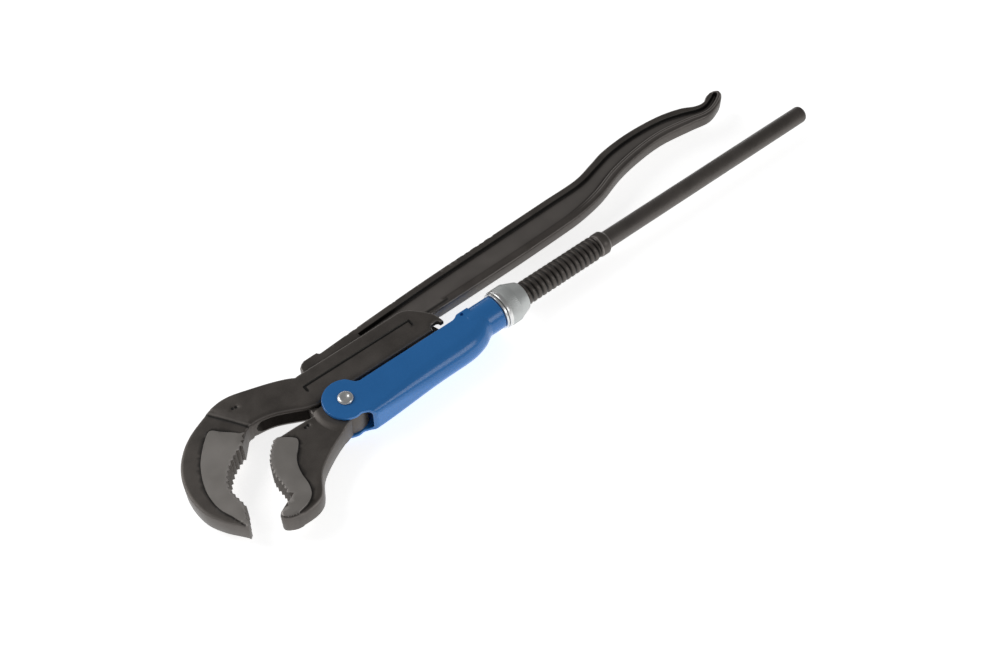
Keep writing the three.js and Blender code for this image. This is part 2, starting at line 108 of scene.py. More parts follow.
CHEEK_OUT = 11.7
SHEET = 2.6
NOSE_R = 15.5
CHEEK_TOP = 6.0
SPINE_Y = -20.5
SQUARE_UNTIL, ROUND_FROM = 8.0, 70.0  # the back's corners open out between these places along the rod
SQUARE_CORNER = 5.5
RISE_START = 84.0
BACK_END = 112.5
HOLLOW_END = 102.5
CHANNEL_END = 107.0
TAIL_END = 124.7
TAIL_R = 12.2
TAIL_START = 99.0
RING_GROOVE_START, RING_GROOVE_END = 111.7, 114.5
RING_GROOVE_R = 11.3

SHANK_R = 5.8
SHANK_START = 64.0
THREAD_START = 92.9
THREAD_PITCH = 4.4
THREAD_TURNS = 28
THREAD_END = THREAD_START + THREAD_TURNS * THREAD_PITCH
THREAD_R = 8.7
THREAD_ROOT_R = 7.2
ROD_R = 6.6
GROOVE_X = 217.7  # narrow turned line between thread and collar
CHAMFER_X = 225.6
ROD_END = 430.0

NUT_BORE_R = 9.0
NUT_NECK_R = 9.8
NUT_NECK_START = 109.5
NUT_START = 127.0
NUT_SHOULDER = 129.8  # smooth turned band in front of the knurl
NUT_BODY_END = 138.0
NUT_END = 147.5
NUT_R = 14.3
NUT_TIP_R = 10.6

GAP = 0.3  # play between pieces that turn on each other
THRUST_RING_R = 13.4
RIVET_HOLE_R = 4.5
RIVET_HEAD = 1.6
WASHER_THICK = 0.8
LIP_EYE_X, LIP_EYE_Y, LIP_EYE_R = 100.2, 5.8, 1.3
HOUSING_VOXEL = 0.33

# ---- outlines ------------------------------------------------------------------------------------------

HANDLE_TOP = [(11, 45.2), (60, 48.4), (108, 50.9), (173, 53), (215, 54.4), (246, 55.4), (266, 60.2),
              (281, 64.3), (302, 66.7), (322, 66.8), (342, 65), (359, 60.7), (370, 55.2), (378, 54.2),
              (384, 57.2), (389.4, 58.6)]
HANDLE_TIP = [(389.4, 58.6), (393.6, 57.8), (396.2, 55.2), (395.8, 51.8)]
HANDLE_LOW = [(395.8, 51.8), (392, 48.2), (385, 44.2), (372, 40.6), (355, 42.9), (328, 45.9), (304, 44.4),
              (279, 39.8), (252, 31.2), (228, 26.9), (207, 25.6), (168, 24.3), (131, 23.7), (105, 23.4),
              (60, 23), (34, 22), (20, 18.6), (12, 12), (8, 5)]
TANG_FRONT = [(-22.5, 4.6), (-20, 14), (-14, 29), (-7, 39.5), (-6.2, 43.2), (-3.7, 45.4), (-1, 46.6),
              (9.4, 46.8)]
POCKET_TOP = [(40, 42.2), (108, 45.8), (173, 47.9), (215, 49.2), (247, 50.4), (268, 55.4), (284, 59.4),
              (303, 61.6), (322, 61.7), (341, 59.8), (357, 55.6), (368, 51.6), (376, 50.6), (384, 53),
              (391, 56.2), (393.4, 55)]
POCKET_LOW = [(393.4, 55), (391.6, 52.4), (384, 48.4), (376, 46), (368, 46), (355, 49), (329, 52.4),
              (302, 50.6), (275, 45.4), (250, 37.2), (227, 32.7), (206, 31.2),
              (168, 30), (131, 29.4), (106, 29.1)]
POCKET_HEEL = [(106, 27), (40, 26)]

LOWER_TEETH = [(-50.2, 5.3), (-55.6, 0.9), (-60.6, -5), (-63.6, -10.6), (-65.3, -16.8), (-65.4, -22.8),
               (-65.6, -28), (-66.6, -33)]
LOWER_TIP = [(-67.6, -36.2), (-71.4, -37.4)]
LOWER_HEEL = [(-78, -40.6), (-80, -43), (-79.2, -46.3), (-73.6, -49.6), (-66, -50.6), (-58, -50.1),
              (-52.3, -47.7), (-48.6, -43.8), (-44.6, -37.4), (-40.2, -31.8), (-32.2, -26.3),
              (-22.4, -21), (-13.5, -17.2), (-6, -14.2)]
LOWER_PAD = [(-47.5, 4), (-42, -0.6), (-40.2, -4.4), (-43.4, -9.4), (-48, -14.4), (-51, -20),
             (-52.8, -27), (-53.6, -35.4), (-56.4, -42.3), (-62, -46.4), (-69.6, -48.2)]

LOWER_BEYOND = [(-72, -60), (-95, -60), (-95, 12), (-52, 12)]  # closes the pad's area past the teeth

HOOK_CROWN = [(-14, PLATE_HIGH), (-19.5, 39.8), (-29, 43.8), (-41.6, 48), (-53, 51.4), (-60, 52.3),
              (-66, 51.8), (-73.4, 50), (-82, 46.6), (-91, 42.2), (-99.6, 35.8), (-107.5, 26.6),
              (-113, 15), (-115.4, 2), (-114.3, -11.6), (-109.2, -23), (-103.4, -31.2), (-99.2, -36.8)]
HOOK_TEETH = [(-96.9, -34.4), (-94.2, -28.6), (-91.8, -23.6), (-92.4, -15.4), (-92.6, -9.2),
              (-91.6, -4.2), (-89.2, -0.4), (-85.8, 3.8), (-81.5, 7.8), (-77, 10.6),
              (-72.9, 12.8), (-69.6, 14)]
THROAT = [(-61, 22.8), (-57, 24.1), (-49, 23.6), (-42.2, 22.1), (-36, 19.6), (-28.9, 15.9), (-22, 12.4),
          (-15, PLATE_LOW)]
NOTCH = [(NOTCH_START, PLATE_LOW), (NOTCH_START, NOTCH_HIGH - 2), (NOTCH_START + 0.6, NOTCH_HIGH - 0.6),
         (NOTCH_START + 2, NOTCH_HIGH), (84.6, NOTCH_HIGH), (85.8, 13.4), (86.3, 12.2), (86.6, LIP_LOW)]
PLATE_CORNER = [(PLATE_END, LIP_LOW), (88.6, 16), (87, 21.2), (84, 25.6), (80.6, 29.8), (76.8, 33.6),
                (72.6, 36), (69, PLATE_HIGH)]
HOOK_PAD = [(-67.2, 25), (-74, 31.6), (-79.6, 36.8), (-87, 31.4), (-94.2, 23.4), (-98.6, 17),
            (-103.2, 6.8), (-105.8, -4), (-105.6, -15.6), (-102, -26.6), (-98.2, -40)]
HOOK_BEYOND = [(-80, -45), (-60.6, 20)]
STEP_LINE = [(-80, 60), (-74, 48), (-66, 35.6), (-59, 24), (-54, 14)]  # thick plates end along this line
HOOK_FRONT = [(-140, -70), (-50, -70)] + STEP_LINE[::-1] + [(-80, 80), (-140, 80)]  # the area ahead of it
DIMPLES_HOOK = [(-58.9, 41.6), (-56.7, 41.2)]  # pairs of small punch marks
DIMPLES_LOWER = [(-31.2, 0.6), (-29.0, 0.9)]
DIMPLE_R = 1.05
FRAME_LINE = [(-14, 22.5), (-14, 26.5), (71, 26.5), (71, 22.5)]  # shallow line pressed in the plate


# ---- curves and distances ------------------------------------------------------------------------------

def spline(points, steps):
    """An even smooth run of points through a few given ones (a uniform Catmull-Rom spline)."""
    p = np.array(points, float)
    p = np.vstack([p[0], p, p[-1]])
    run = []
    for t in np.linspace(0, len(points) - 1, steps + 1):
        i = min(int(t), len(points) - 2)
        u = t - i
        a, b, c, d = p[i:i + 4]
        run.append(0.5 * (2 * b + (c - a) * u + (2 * a - 5 * b + 4 * c - d) * u * u
                          + (3 * b - a - 3 * c + d) * u ** 3))
    return [tuple(q) for q in run]


def arc(x, y, radius, start, end, steps):
    angles = np.radians(np.linspace(start, end, steps + 1))
    return [(x + radius * math.cos(a), y + radius * math.sin(a)) for a in angles]


def resample(points, spacing):
    """Points about one spacing apart along a polyline, with its corners kept."""
    run = []
    for (x0, y0), (x1, y1) in zip(points, points[1:]):
        parts = max(1, round(math.hypot(x1 - x0, y1 - y0) / spacing))
        run += [(x0 + (x1 - x0) * k / parts, y0 + (y1 - y0) * k / parts) for k in range(parts)]
    return run + [points[-1]]


def saw(points, count, depth):
    """Saw teeth along a smooth edge, crests on it and roots behind it."""
    edge = np.array(spline(points, 400))
    length = np.concatenate([[0], np.cumsum(np.linalg.norm(np.diff(edge, axis=0), axis=1))])

    def on_edge(share):
        return np.array([np.interp(share * length[-1], length, edge[:, k]) for k in (0, 1)])

    run = []
    for tooth in range(count):
        root = (tooth + 0.75) / count
        along = on_edge(min(1, root + 0.002)) - on_edge(root - 0.002)
        along /= np.linalg.norm(along)
        run.append(tuple(on_edge(tooth / count)))
        run.append(tuple(on_edge(root) + depth * np.array([-along[1], along[0]])))
    return run + [tuple(on_edge(1.0))]


def distance(points, line, closed=False):
    """How far each point is from a polyline."""
    line = np.array(line, float)
    if closed:
        line = np.vstack([line, line[:1]])
    a, b = line[:-1], line[1:]
    best = np.full(len(points), 1e9)
    for start in range(0, len(points), 2000):
        p = points[start:start + 2000, None, :]
        d = b - a
        t = np.clip(((p - a) * d).sum(-1) / np.maximum((d * d).sum(-1), 1e-12), 0, 1)
        best[start:start + 2000] = np.linalg.norm(p - (a + t[..., None] * d), axis=-1).min(1)
    return best


def inside(points, polygon):
    poly = np.array(polygon, float)
    nxt = np.roll(poly, -1, axis=0)
    result = np.zeros(len(points), bool)
    for (x0, y0), (x1, y1) in zip(poly, nxt):
        if y0 == y1:
            continue
        crossing = (y0 > points[:, 1]) != (y1 > points[:, 1])
        result ^= crossing & (points[:, 0] < (x1 - x0) * (points[:, 1] - y0) / (y1 - y0) + x0)
    return result


def signed(points, polygon):
    """Distance to a polygon's edge, positive inside it."""
    return np.where(inside(points, polygon), 1, -1) * distance(points, polygon, closed=True)


def ramp(value, width):
    """0 below minus half the width, 1 above plus half of it, smooth between."""
    t = np.clip(value / width + 0.5, 0, 1)
    return t * t * (3 - 2 * t)


def beside(line, offset):
    """A polyline moved sideways, for rows of points on both sides of an edge."""
    p = np.array(line, float)
    d = np.gradient(p, axis=0)
    d /= np.maximum(np.linalg.norm(d, axis=1, keepdims=True), 1e-9)
    return p + offset * np.stack([-d[:, 1], d[:, 0]], 1)


# ---- mesh helpers --------------------------------------------------------------------------------------

def place(points):
    """Millimetres about the pivot to metres in the frame."""
    return np.array(points, float) * MM + np.array(PIVOT)


def add_mesh(name, points, faces, smooth_angle=35):
    mesh = bpy.data.meshes.new(name)
    mesh.from_pydata([tuple(p) for p in place(points)], [], [tuple(f) for f in faces])
    mesh.validate()
    work = bmesh.new()
    work.from_mesh(mesh)
    bmesh.ops.remove_doubles(work, verts=work.verts, dist=1e-7)
    bmesh.ops.dissolve_degenerate(work, edges=work.edges, dist=1e-8)
    bmesh.ops.recalc_face_normals(work, faces=work.faces)
    work.to_mesh(mesh)
    work.free()
    piece = bpy.data.objects.new(name, mesh)
    bpy.context.scene.collection.objects.link(piece)
    soften(piece, smooth_angle)
    return piece


def soften(piece, angle):
    """Smooth shading, broken where faces meet at more than the angle."""
    piece.data.polygons.foreach_set("use_smooth", [True] * len(piece.data.polygons))
    piece.data.set_sharp_from_angle(angle=math.radians(angle))


def solid_of(name, outline, low, high):
    """A flat outline made solid between two heights."""
    count = len(outline)
    points = [(x, y, low) for x, y in outline] + [(x, y, high) for x, y in outline]
    faces = [tuple(range(count))[::-1], tuple(range(count, 2 * count))]
    faces += [(i, (i + 1) % count, count + (i + 1) % count, count + i) for i in range(count)]
    return add_mesh(name, points, faces)


def stood_up(piece):
    """Turns a solid drawn in X and Z upright: its drawn Y becomes Z."""
    for vertex in piece.data.vertices:
        along, across, up = (Vector(vertex.co) - PIVOT) / MM
        vertex.co = PIVOT + Vector((along, up, across)) * MM
    work = bmesh.new()
    work.from_mesh(piece.data)
    bmesh.ops.recalc_face_normals(work, faces=work.faces)
    work.to_mesh(piece.data)
    work.free()
    return piece


def block(name, x0, x1, y0, y1, z0, z1):
    return solid_of(name, [(x0, y0), (x1, y0), (x1, y1), (x0, y1)], z0, z1)


def turned(name, profile, sides=96, axis="X", smooth_angle=35):
    """A shape turned about the rod axis (or about the rivet, with axis Z). profile: (along, radius)."""
    points, faces = [], []
    for along, radius in profile:
        for k in range(sides):
            a = 2 * math.pi * k / sides
            u, v = radius * math.cos(a), radius * math.sin(a)
            points.append((along, u, v) if axis == "X" else (u, v, along))
    rows = len(profile)
    for i in range(rows - 1):
        for k in range(sides):
            j = (k + 1) % sides
            faces.append((i * sides + k, i * sides + j, (i + 1) * sides + j, (i + 1) * sides + k))
    if profile[0] == profile[-1]:
        return add_mesh(name, points, faces, smooth_angle)
    faces.append(tuple(range(sides))[::-1])
    faces.append(tuple(range((rows - 1) * sides, rows * sides)))
    return add_mesh(name, points, faces, smooth_angle)


def combine(piece, other, how):
    """Joins, cuts or intersects a piece with another, which is then deleted."""
    step = piece.modifiers.new("combine", "BOOLEAN")
    step.object, step.operation, step.solver = other, how, "EXACT"
    apply_modifiers(piece)
    bpy.data.objects.remove(other)
    return piece


def apply_modifiers(piece):
    graph = bpy.context.evaluated_depsgraph_get()
    made = bpy.data.meshes.new_from_object(piece.evaluated_get(graph))
    piece.modifiers.clear()
    piece.data = made


def relief(name, outline, height, rows=(), holes=(), grid=2.6, edge_rows=(0.2, 0.6, 1.2, 2.2, 3.6)):
    """A forging seen from its flat side: the same face on both sides, at +height and -height.

    rows are extra lines of points where the height changes quickly."""
    rim = [np.array(outline)] + [np.array(hole) for hole in holes]
    points = []
    edges = []
    for loop in rim:
        first = len(points)
        points += [tuple(p) for p in loop]
        edges += [(first + i, first + (i + 1) % len(loop)) for i in range(len(loop))]
    low, high = rim[0].min(0), rim[0].max(0)
    xs, ys = np.meshgrid(np.arange(low[0], high[0], grid), np.arange(low[1], high[1], grid))
    extra = [np.array(row) for row in rows]
    for loop in rim:
        closed = np.vstack([loop[-1:], loop, loop[:1]])
        for offset in edge_rows:
            for side in (-1, 1):
                extra.append(beside(closed, side * offset)[1:-1])
    extra = np.vstack(extra)
    coarse = np.stack([xs.ravel(), ys.ravel()], 1)
    extra = np.vstack([extra, coarse[far_from(coarse, extra, grid * 0.45)]])
    keep = inside(extra, rim[0])
    for hole in rim[1:]:
        keep &= ~inside(extra, hole)
    extra = extra[keep]
    clear = np.min([distance(extra, loop, closed=True) for loop in rim], axis=0)
    extra = thin_out(extra[clear > 0.12], 0.16)
    points += [tuple(p) for p in extra]
    made = delaunay_2d_cdt([Vector(p) for p in points], edges, [], 0, 1e-5)
    flat = np.array([tuple(p) for p in made[0]])
    triangles = np.array([f for f in made[2] if len(f) == 3])
    middle = flat[triangles].mean(1)
    keep = inside(middle, rim[0])
    for hole in rim[1:]:
        keep &= ~inside(middle, hole)
    triangles = triangles[keep]
    z = height(flat, distance(flat, rim[0], closed=True))
    count = len(flat)
    top = np.column_stack([flat, z])
    bottom = np.column_stack([flat, -z])
    corner = flat[triangles]
    area = np.cross(corner[:, 1] - corner[:, 0], corner[:, 2] - corner[:, 0])
    triangles[area < 0] = triangles[area < 0][:, ::-1]
    faces = [tuple(t) for t in triangles] + [tuple(t[::-1] + count) for t in triangles]
    used = {}
    for a, b, c in triangles:
        for e in ((a, b), (b, c), (c, a)):
            used[e] = used.get(e, 0) + 1
    for a, b in used:
        if (b, a) not in used:
            faces.append((b, a, a + count, b + count))
    return add_mesh(name, np.vstack([top, bottom]), faces)


def far_from(points, others, gap):
    tree = KDTree(len(others))
    for i, (x, y) in enumerate(others):
        tree.insert((x, y, 0), i)
    tree.balance()
    return np.array([tree.find((x, y, 0))[2] > gap for x, y in points])


def thin_out(points, spacing):
    """One point for each small square."""
    cell = np.round(points / spacing).astype(int)
    first = np.unique(cell, axis=0, return_index=True)[1]
    return points[np.sort(first)]


def rounded(high, edge_distance, radius):
    """Height near an edge that is rounded over."""
    d = np.clip(edge_distance, 0, radius)
    return high - radius + np.sqrt(np.maximum(radius ** 2 - (radius - d) ** 2, 0))


# ---- lower jaw and I-beam handle -----------------------------------------------------------------------

def lower_outline():
    tooth_edge = saw(LOWER_TEETH, LOWER_TOOTH_COUNT, -TOOTH_DEPTH)
    jaw = tooth_edge + LOWER_TIP + spline(LOWER_HEEL, 60)
    boss = arc(0, 0, BOSS_R, 246, 390, 36)
    handle = spline(HANDLE_LOW, 260)[::-1] + spline(HANDLE_TIP, 16)[::-1][1:]
    handle += spline(HANDLE_TOP, 240)[::-1][1:]
    front = resample(TANG_FRONT[::-1], 1.2)
    return jaw + boss + handle[1:] + front + resample([(-22.5, 4.6), (-36, 5.3), (-50.2, 5.3)], 1.2)[1:-1]


def pad_region(pad, beyond):
    return spline(pad, 60) + beyond


def lower_height(points, edge):
    x, y = points[:, 0], points[:, 1]
    pad = pad_region(LOWER_PAD, LOWER_BEYOND)
    pocket = spline(POCKET_TOP, 200) + spline(POCKET_LOW, 200) + POCKET_HEEL
    radius_here = np.hypot(x, y)
    jaw = JAW_HALF + (PAD_HALF - JAW_HALF) * ramp(signed(points, pad), 0.5)
    shoulder = (radius_here < FLARE_R) & (y < BOSS_TOP)
    rise = np.clip((FLARE_R - radius_here) / (FLARE_R - SHOULDER_R), 0, 1)
    jaw = np.where(shoulder, JAW_HALF + (FORK_HALF - JAW_HALF) * (1 - (1 - rise) ** 2), jaw)
    tang = ramp(y - BOSS_TOP + 0.3, 0.6) * (x > -24) + (x > BOSS_R + 1) * 1.0
    high = jaw + (BEAM_HALF - jaw) * np.clip(tang, 0, 1)
    hollow = signed(points, pocket)
    high = high - (BEAM_HALF - WEB_HALF) * ramp(hollow - 0.6, 1.2) * (x > 20)
    high = high + 0.3 * beam_ridges(points, hollow) - 0.4 * dimples(points, DIMPLES_LOWER)
    soft = np.where(x > 10, 1.7, 1.0)
    toothed = distance(points, LOWER_TEETH) < 3.2
    soft = np.where(toothed, 0.25, soft)
    heel = np.exp(-np.clip(distance(points, LOWER_HEEL[2:9]), 0, 9) ** 2 / 14)
    soft = soft + 2.0 * heel * (x < -40) * ~toothed
    return rounded(high, edge, soft)


def beam_ridges(points, hollow):
    """Two fine ridges along the lower flange, towards its tip."""
    near_low = distance(points, POCKET_LOW) < 4
    lines = np.exp(-((hollow + 0.5) / 0.4) ** 2) + np.exp(-((hollow + 2.2) / 0.4) ** 2)
    return lines * near_low * ramp(points[:, 0] - 240, 40)


def dimples(points, centres):
    reach = np.min([np.hypot(points[:, 0] - x, points[:, 1] - y) for x, y in centres], axis=0)
    return 1 - ramp(reach - DIMPLE_R, 0.6)


def dimple_rows(centres):
    return [arc(x, y, r, 0, 345, 23) for x, y in centres for r in (0.3, 0.6, 0.85, 1.1, 1.35)]


# painted highlight in a narrow line just inside an outline, on its rounded-over edge
def painted_edge_highlight(edge_distance):
    return 0.5 * np.exp(-((edge_distance - 0.6) / 0.35) ** 2)


def lever_marks(points):
    """(painted shade in recesses, painted highlight on edges) for points in millimetres about the pivot."""
    flat = points[:, :2]
    pocket = spline(POCKET_TOP, 120) + spline(POCKET_LOW, 120) + POCKET_HEEL
    hollow = signed(flat, pocket)
    face = np.abs(points[:, 2]) > WEB_HALF - 0.3
    # painted shade on the walls of the beam's pocket
    wall = ramp(hollow - 0.1, 0.5) * (1 - ramp(hollow - 1.5, 1.4)) * (flat[:, 0] > 20)
    pad = pad_region(LOWER_PAD, LOWER_BEYOND)
    # painted shade in a narrow line just outside the jaw pad's edge
    step = np.exp(-((signed(flat, pad) + 0.35) / 0.3) ** 2)
    # painted shadow in a line just above the plates' upper edge
    shade_under_plates = np.exp(-(np.clip(flat[:, 1] - PLATE_HIGH, 0, 9) / 1.4) ** 2) * (flat[:, 0] > -16)
    shade_under_plates = shade_under_plates * (flat[:, 0] < 72) * (flat[:, 1] > BOSS_TOP)
    # the punch marks get painted shade too
    dark = np.max([wall, step, shade_under_plates, dimples(flat, DIMPLES_LOWER)], axis=0) * face
    # painted highlight on the outline's edges
    outer = painted_edge_highlight(distance(flat, lower_outline(), closed=True))
    # painted light: the beam's web is made lighter
    web_painted_light = ramp(hollow - 2.4, 1.4) * 0.3 * (flat[:, 0] > 20)
    # the beam's fine ridges get a painted highlight as well
    return dark, np.max([outer, beam_ridges(flat, hollow), web_painted_light], axis=0)


POCKET_ROWS = (-3.6, -2.8, -2.2, -1.6, -1.2, -0.9, -0.6, -0.3, 0, 0.3, 0.6, 0.9, 1.2, 1.7, 2.2, 2.7)


def lower_lever():
    pad = spline(LOWER_PAD, 90)
    top, low = resample(spline(POCKET_TOP, 200), 0.6), resample(spline(POCKET_LOW, 200), 0.6)
    rows = [beside(pad, o) for o in (-0.3, -0.12, 0.12, 0.3)]
    rows += [beside(top, o) for o in POCKET_ROWS if o < 1.3]
    rows += [beside(low, o) for o in POCKET_ROWS]
    rows += dimple_rows(DIMPLES_LOWER)
    rows += [arc(0, 0, r, 90, 300, 120) for r in (18, 18.8, 19.6, 20.6, 21.6, 22.5, 23)]
    rows += [resample([(-24, BOSS_TOP + o), (18, BOSS_TOP + o)], 0.8) for o in (-0.6, -0.3, 0, 0.3)]
    return relief("lower_jaw_and_beam", lower_outline(), lower_height, rows,
                  holes=[arc(0, 0, BUSH_HOLE_R, 0, 350, 35)], edge_rows=(0.2, 0.6, 1.2, 2.0))


# ---- hook jaw ------------------------------------------------------------------------------------------

def hook_outline():
    run = spline(HOOK_CROWN, 150) + saw(HOOK_TEETH, HOOK_TOOTH_COUNT, TOOTH_DEPTH) + spline(THROAT, 60)
    run += resample([THROAT[-1], NOTCH[0]], 1.4)[1:-1] + NOTCH
    run += spline(PLATE_CORNER, 40) + resample([PLATE_CORNER[-1], HOOK_CROWN[0]], 1.4)[1:-1]
    return run


def hook_height(points, edge):
    x = points[:, 0]
    pad = pad_region(HOOK_PAD, HOOK_BEYOND)
    ahead = signed(points, HOOK_FRONT)
    thick = FORK_HALF - 0.5 * ramp(ahead + 4.6, 2.0)
    body = JAW_HALF + (PAD_HALF - JAW_HALF) * ramp(signed(points, pad), 0.5)
    high = thick + (body - thick) * ramp(ahead + 0.3, 1.8)
    high = high - 0.6 * (1 - ramp(distance(points, FRAME_LINE) - 0.8, 0.5))
    high = high - 0.4 * dimples(points, DIMPLES_HOOK)
    soft = np.full(len(points), 1.5)
    soft = np.where(x > -14, 0.9, soft)
    throat = distance(points, THROAT + [(NOTCH_START, PLATE_LOW)])
    soft = np.where((throat < 6) & (x > -56), 3.2, soft)
    outer = (x < -72) & (distance(points, HOOK_CROWN) < 8)
    soft = np.where(outer, 1.6, soft)
    soft = np.where(distance(points, HOOK_TEETH) < 3, 0.25, soft)
    return rounded(high, edge, soft)


def hook_marks(points):
    flat = points[:, :2]
    face = np.abs(points[:, 2]) > JAW_HALF - 0.5
    # painted shade in the pressed frame line
    line = 1 - ramp(distance(flat, FRAME_LINE) - 0.95, 0.4)
    # painted shade along the ground pad's edge
    step = np.exp(-((signed(flat, pad_region(HOOK_PAD, HOOK_BEYOND)) + 0.4) / 0.35) ** 2) * (flat[:, 0] < -66)
    # painted shade along the step where the thick plates end
    band = np.exp(-((distance(flat, spline(STEP_LINE, 40))) / 0.8) ** 2)
    # the punch marks get painted shade too
    dark = np.max([line, step, band, dimples(flat, DIMPLES_HOOK)], axis=0) * face
    # painted highlight on the outline's edges
    bright = painted_edge_highlight(distance(flat, hook_outline(), closed=True))
    ahead = signed(flat, HOOK_FRONT)
    # painted highlight along the rounded edge just before the step
    lip = 0.3 * np.exp(-((ahead + 1.7) / 0.8) ** 2) * face
    return dark, np.maximum(bright, lip)


def hook():
    pad = spline(HOOK_PAD, 110)
    step = spline(STEP_LINE, 60)
    frame_line = resample(FRAME_LINE, 0.5)
    rows = [beside(pad, o) for o in (-0.3, -0.12, 0.12, 0.3)]
    rows += [beside(step, o) for o in np.arange(-5, 2.6, 0.5)]
    rows += [beside(frame_line, o) for o in (-1.25, -1.0, -0.75, -0.5, 0, 0.5, 0.75, 1.0, 1.25)]
    rows += dimple_rows(DIMPLES_HOOK)
    piece = relief("toothed_hook", hook_outline(), hook_height, rows)
    slot = block("slot", SLOT_END, PLATE_END + 4, -70, 70, -SLOT_HALF, SLOT_HALF)
    slot_front = stood_up(solid_of("slot_front", arc(SLOT_END, 0, SLOT_HALF, 0, 354, 59), -70, 70))
    piece = combine(piece, slot, "DIFFERENCE")
    piece = combine(piece, slot_front, "DIFFERENCE")
    boss = turned("root", [(ROOT_START, ROOT_R - 0.6), (ROOT_START + 0.6, ROOT_R), (ROOT_END - 0.6, ROOT_R),
                           (ROOT_END, ROOT_R - 0.6)])
    bridge = block("bridge", ROOT_START + 0.3, ROOT_END - 0.3, 0, ROOT_HIGH, -ROOT_BRIDGE, ROOT_BRIDGE)
    piece = combine(piece, combine(boss, bridge, "UNION"), "UNION")
    soften(piece, 35)
    return piece


# ---- rod, thread and collar ----------------------------------------------------------------------------

def thread_rise(turn_share):
    """Height of the rounded thread form over one turn: 0 at the root, 1 on the flat crest."""
    from_root = abs((turn_share + 0.5) % 1 - 0.5)
    return float(ramp(np.array([from_root - 0.17]), 0.3)[0])


def rod_marks(points):
    radius = np.hypot(points[:, 1], points[:, 2])
    on_thread = (points[:, 0] > THREAD_START) & (points[:, 0] < THREAD_END)
    # painted shade in the thread's roots
    dark = on_thread * np.clip((THREAD_R - 0.35 - radius) / (THREAD_R - THREAD_ROOT_R - 0.35), 0, 1) * 0.9
    # painted highlights on the turned groove and the chamfer
    bright = np.exp(-((points[:, 0] - GROOVE_X) / 0.45) ** 2)
    bright = bright + 0.5 * np.exp(-((points[:, 0] - CHAMFER_X) / 0.8) ** 2)
    return dark, np.clip(bright, 0, 1)


def threaded_rod():
    sides = 72
    per_turn = 16
    step = THREAD_PITCH / per_turn
    stations = [(SHANK_START, SHANK_R), (ROOT_END + 0.2, SHANK_R), (ROOT_END + 0.3, THREAD_ROOT_R)]
    points, rows = [], 0

    def row(x, radius_at):
        nonlocal rows
        for k in range(sides):
            a = 2 * math.pi * k / sides
            r = radius_at(a)
            points.append((x, r * math.cos(a), r * math.sin(a)))
        rows += 1

    for x, r in stations:
        row(x, lambda a, r=r: r)
    count = THREAD_TURNS * per_turn
    for i in range(count + 1):
        x = THREAD_START + i * step
        fade = min(1, i / per_turn, (count - i) / (0.3 * per_turn))
        row(x, lambda a, x=x, fade=fade: THREAD_ROOT_R + fade * (THREAD_R - THREAD_ROOT_R) * thread_rise(
            (x - THREAD_START) / THREAD_PITCH - a / (2 * math.pi)))
    for x, r in [(216.4, 7.9), (GROOVE_X - 0.6, 8.2), (GROOVE_X, 8.35), (GROOVE_X + 0.4, 8.4),
                 (GROOVE_X + 0.7, THREAD_R), (223.7, THREAD_R), (224.1, 8.5), (CHAMFER_X, 7.4),
                 (226.8, ROD_R), (ROD_END - 2.4, ROD_R), (ROD_END - 1.4, 6.45),
                 (ROD_END - 0.6, 6.05), (ROD_END - 0.1, 5.5), (ROD_END, 5.1)]:
        row(x, lambda a, r=r: r)
    faces = [tuple(range(sides))[::-1], tuple(range((rows - 1) * sides, rows * sides))]
    for i in range(rows - 1):
        for k in range(sides):
            j = (k + 1) % sides
            faces.append((i * sides + k, i * sides + j, (i + 1) * sides + j, (i + 1) * sides + k))
    return add_mesh("rod_handle", points, faces, smooth_angle=50)


# ---- sheet housing -------------------------------------------------------------------------------------

def housing_side():
    """Side outline: the round cheek at the rivet, the window behind it, the open top edge and the lip."""
    below = SPINE_Y - 3
    return (arc(0, 0, NOSE_R, 54, 264, 60) + [(2.2, -15), (6.5, -17), (9.4, -20), (10, SPINE_Y), (10, below)]
            + [(BACK_END + 1, below), (BACK_END + 1, -5), (CHANNEL_END, -2), (CHANNEL_END, 8.4), (98, 8.4)]
            + [(96.4, 7.8), (95, CHEEK_TOP + 0.8), (93, CHEEK_TOP + 0.1), (90, CHEEK_TOP), (15.4, CHEEK_TOP),
               (13, 7.2)])


def channel_bar(name, half, stations, top):
    """A bar along the rod axis, open above. stations: (along, height of its back, radius of its corners)."""
    points, faces = [], []
    for x, back, corner in stations:
        section = [(top, half)] + arc(back + corner, half - corner, corner, 90, 180, 14)
        section += arc(back + corner, corner - half, corner, 180, 270, 14) + [(top, -half)]
        points += [(x, y, z) for y, z in section]
    count = len(section)
    for i in range(len(stations) - 1):
        for k in range(count):
            j = (k + 1) % count
            faces.append((i * count + k, i * count + j, (i + 1) * count + j, (i + 1) * count + k))
    faces.append(tuple(range(count)))
    faces.append(tuple(range(len(points) - count, len(points)))[::-1])
    return add_mesh(name, points, faces)


def back_stations(start, inset):
    """The back is nearly square at the rivet, opens to half round along the rod, and rises into the tail."""
    half = CHEEK_OUT - inset
    full = half - 0.01
    tight = SQUARE_CORNER - inset
    low = SPINE_Y + inset
    run = [(start, low, tight), (SQUARE_UNTIL, low, tight)]
    for share in np.linspace(0, 1, 9)[1:]:
        ease = share * share * (3 - 2 * share)
        along = SQUARE_UNTIL + (ROUND_FROM - SQUARE_UNTIL) * share
        run.append((along, low, tight + (full - tight) * ease))
    if inset:
        return run + [(RISE_START + 4, low, full), (HOLLOW_END, low + 2.8, full)]
    rise = [(RISE_START, low), (92, -20.0), (98, -18.8), (104.5, -16.6), (109.5, -13.6), (BACK_END, -12.2)]
    return run + [(x, y, full) for x, y in spline(rise, 24)]


